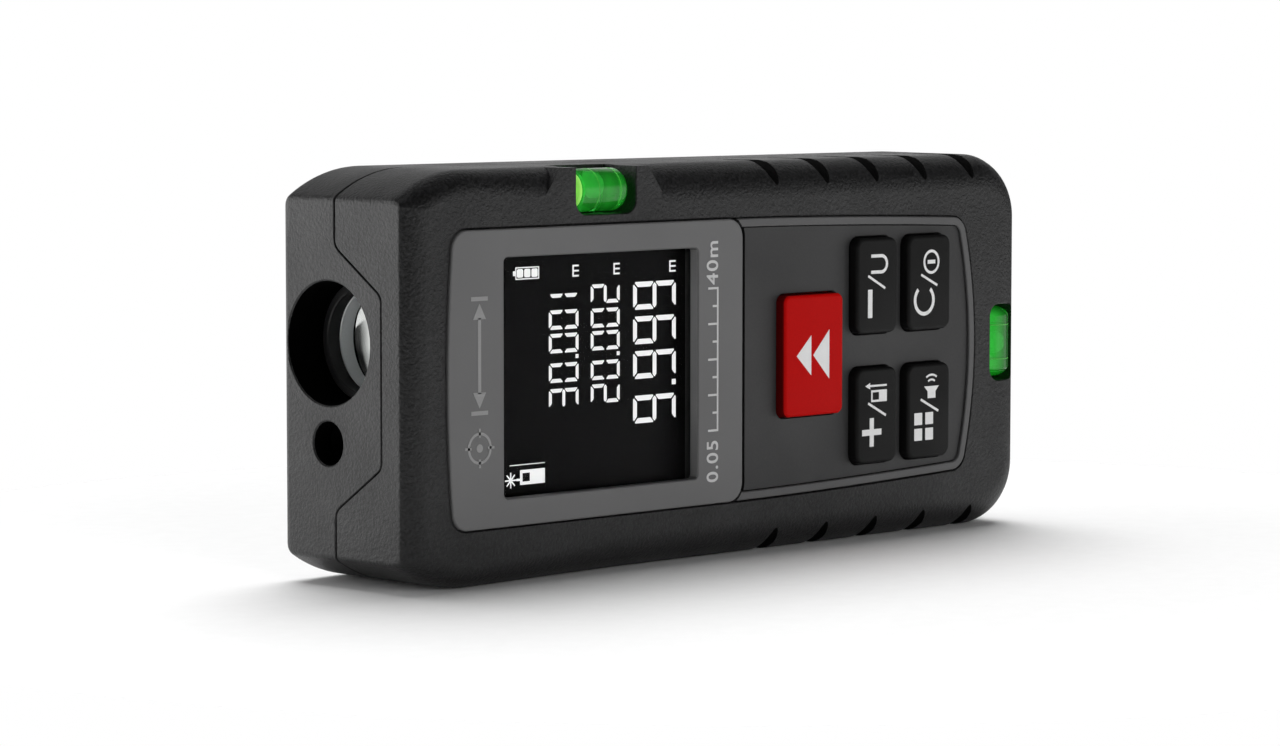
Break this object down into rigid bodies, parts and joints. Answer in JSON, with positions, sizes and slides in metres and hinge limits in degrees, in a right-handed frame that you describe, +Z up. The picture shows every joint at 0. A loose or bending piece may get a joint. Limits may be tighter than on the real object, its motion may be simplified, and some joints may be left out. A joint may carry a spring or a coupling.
{
  "type": "laser distance meter",
  "caption": "Hand-held laser distance meter in a black two-shell housing, with a backlit display, a red measure button, small keys, a receiver lens and two spirit levels.",
  "frame": {"origin": "middle of the long side that the meter stands on, under the middle of its length and thickness", "axes": "+X along the length, from the laser end to the bottom end; +Y from the display to the back; +Z up across the width"},
  "size_m": [0.112, 0.0238, 0.05],
  "materials": {
    "housing_black": "fine grained matte moulded plastic",
    "bezel_grey": "satin grey",
    "panel_grey": "fine matte",
    "button_black": "satin rubber with white printed marks",
    "button_red": "satin rubber with white printed marks",
    "clear": "clear, glossy",
    "lcd_black": "black display with white segments",
    "backlight": "translucent white",
    "board_green": "satin solder mask",
    "chip_black": "matte moulding compound",
    "flex_amber": "satin polyimide film",
    "bench_metal": "cast, satin",
    "lens_glass": "polished, coated",
    "brass": "turned, satin",
    "steel": "nickel plated, satin",
    "vial_green": "clear acrylic with green liquid",
    "plug_lime": "translucent lime",
    "bubble": "clear",
    "cell_wrap": "plain printed sleeve",
    "lead_red": "satin sleeve",
    "lead_black": "satin sleeve"
  },
  "bodies": {
    "meter": {"front_housing": "housing_black", "rear_housing": "housing_black", "display_bezel": "bezel_grey", "keypad_rim": "bezel_grey", "keypad_panel": "panel_grey", "display_window": "clear", "lcd_panel": "lcd_black", "lcd_backlight": "backlight", "display_flex": "flex_amber", "sensor_flex": "flex_amber", "switch_measure": "chip_black", "switch_minus": "chip_black", "switch_clear": "chip_black", "switch_plus": "chip_black", "switch_mode": "chip_black", "main_board": "board_green", "sensor_board": "board_green", "processor_chip": "chip_black", "timing_chip": "chip_black", "buzzer": "chip_black", "board_screw_1": "steel", "board_screw_2": "steel", "housing_screw_1": "steel", "housing_screw_2": "steel", "housing_screw_3": "steel", "housing_screw_4": "steel", "optical_bench": "bench_metal", "lens_retainer": "bench_metal", "receiver_lens": "lens_glass", "optical_filter": "lens_glass", "collimator_lens": "lens_glass", "photodiode": "brass", "laser_barrel": "brass", "laser_diode": "brass", "side_vial": "vial_green", "end_vial": "vial_green", "side_vial_plug": "plug_lime", "end_vial_plug": "plug_lime", "battery_1": "cell_wrap", "battery_2": "cell_wrap", "positive_contact": "steel", "negative_contact": "steel", "bridge_contact": "steel", "cell_spring_1": "steel", "cell_spring_2": "steel", "red_lead": "lead_red", "black_lead": "lead_black"},
    "measure_key": {"measure_button": "button_red"},
    "minus_key": {"minus_unit_button": "button_black"},
    "clear_key": {"clear_power_button": "button_black"},
    "plus_key": {"plus_reference_button": "button_black"},
    "mode_key": {"mode_sound_button": "button_black"},
    "side_level_bubble": {"side_bubble": "bubble"},
    "end_level_bubble": {"end_bubble": "bubble"},
    "cover": {"battery_cover": "housing_black"}
  },
  "joints": [
    {"name": "measure_press", "type": "slide", "parent": "meter", "child": "measure_key", "axis": [0, 1, 0], "range_m": [0, 0.0005], "stiffness_N_per_m": 400, "springref_m": -0.0005},
    {"name": "minus_press", "type": "slide", "parent": "meter", "child": "minus_key", "axis": [0, 1, 0], "range_m": [0, 0.0005], "stiffness_N_per_m": 400, "springref_m": -0.0005},
    {"name": "clear_press", "type": "slide", "parent": "meter", "child": "clear_key", "axis": [0, 1, 0], "range_m": [0, 0.0005], "stiffness_N_per_m": 400, "springref_m": -0.0005},
    {"name": "plus_press", "type": "slide", "parent": "meter", "child": "plus_key", "axis": [0, 1, 0], "range_m": [0, 0.0005], "stiffness_N_per_m": 400, "springref_m": -0.0005},
    {"name": "mode_press", "type": "slide", "parent": "meter", "child": "mode_key", "axis": [0, 1, 0], "range_m": [0, 0.0005], "stiffness_N_per_m": 400, "springref_m": -0.0005},
    {"name": "side_bubble_drift", "type": "slide", "parent": "meter", "child": "side_level_bubble", "axis": [1, 0, 0], "range_m": [-0.0014, 0.0014], "stiffness_N_per_m": 2},
    {"name": "end_bubble_drift", "type": "slide", "parent": "meter", "child": "end_level_bubble", "axis": [0, 0, 1], "range_m": [-0.0014, 0.0014], "stiffness_N_per_m": 2},
    {"name": "cover_lift", "type": "slide", "parent": "meter", "child": "cover", "axis": [0, 1, 0], "range_m": [0, 0.03]}
  ]
}
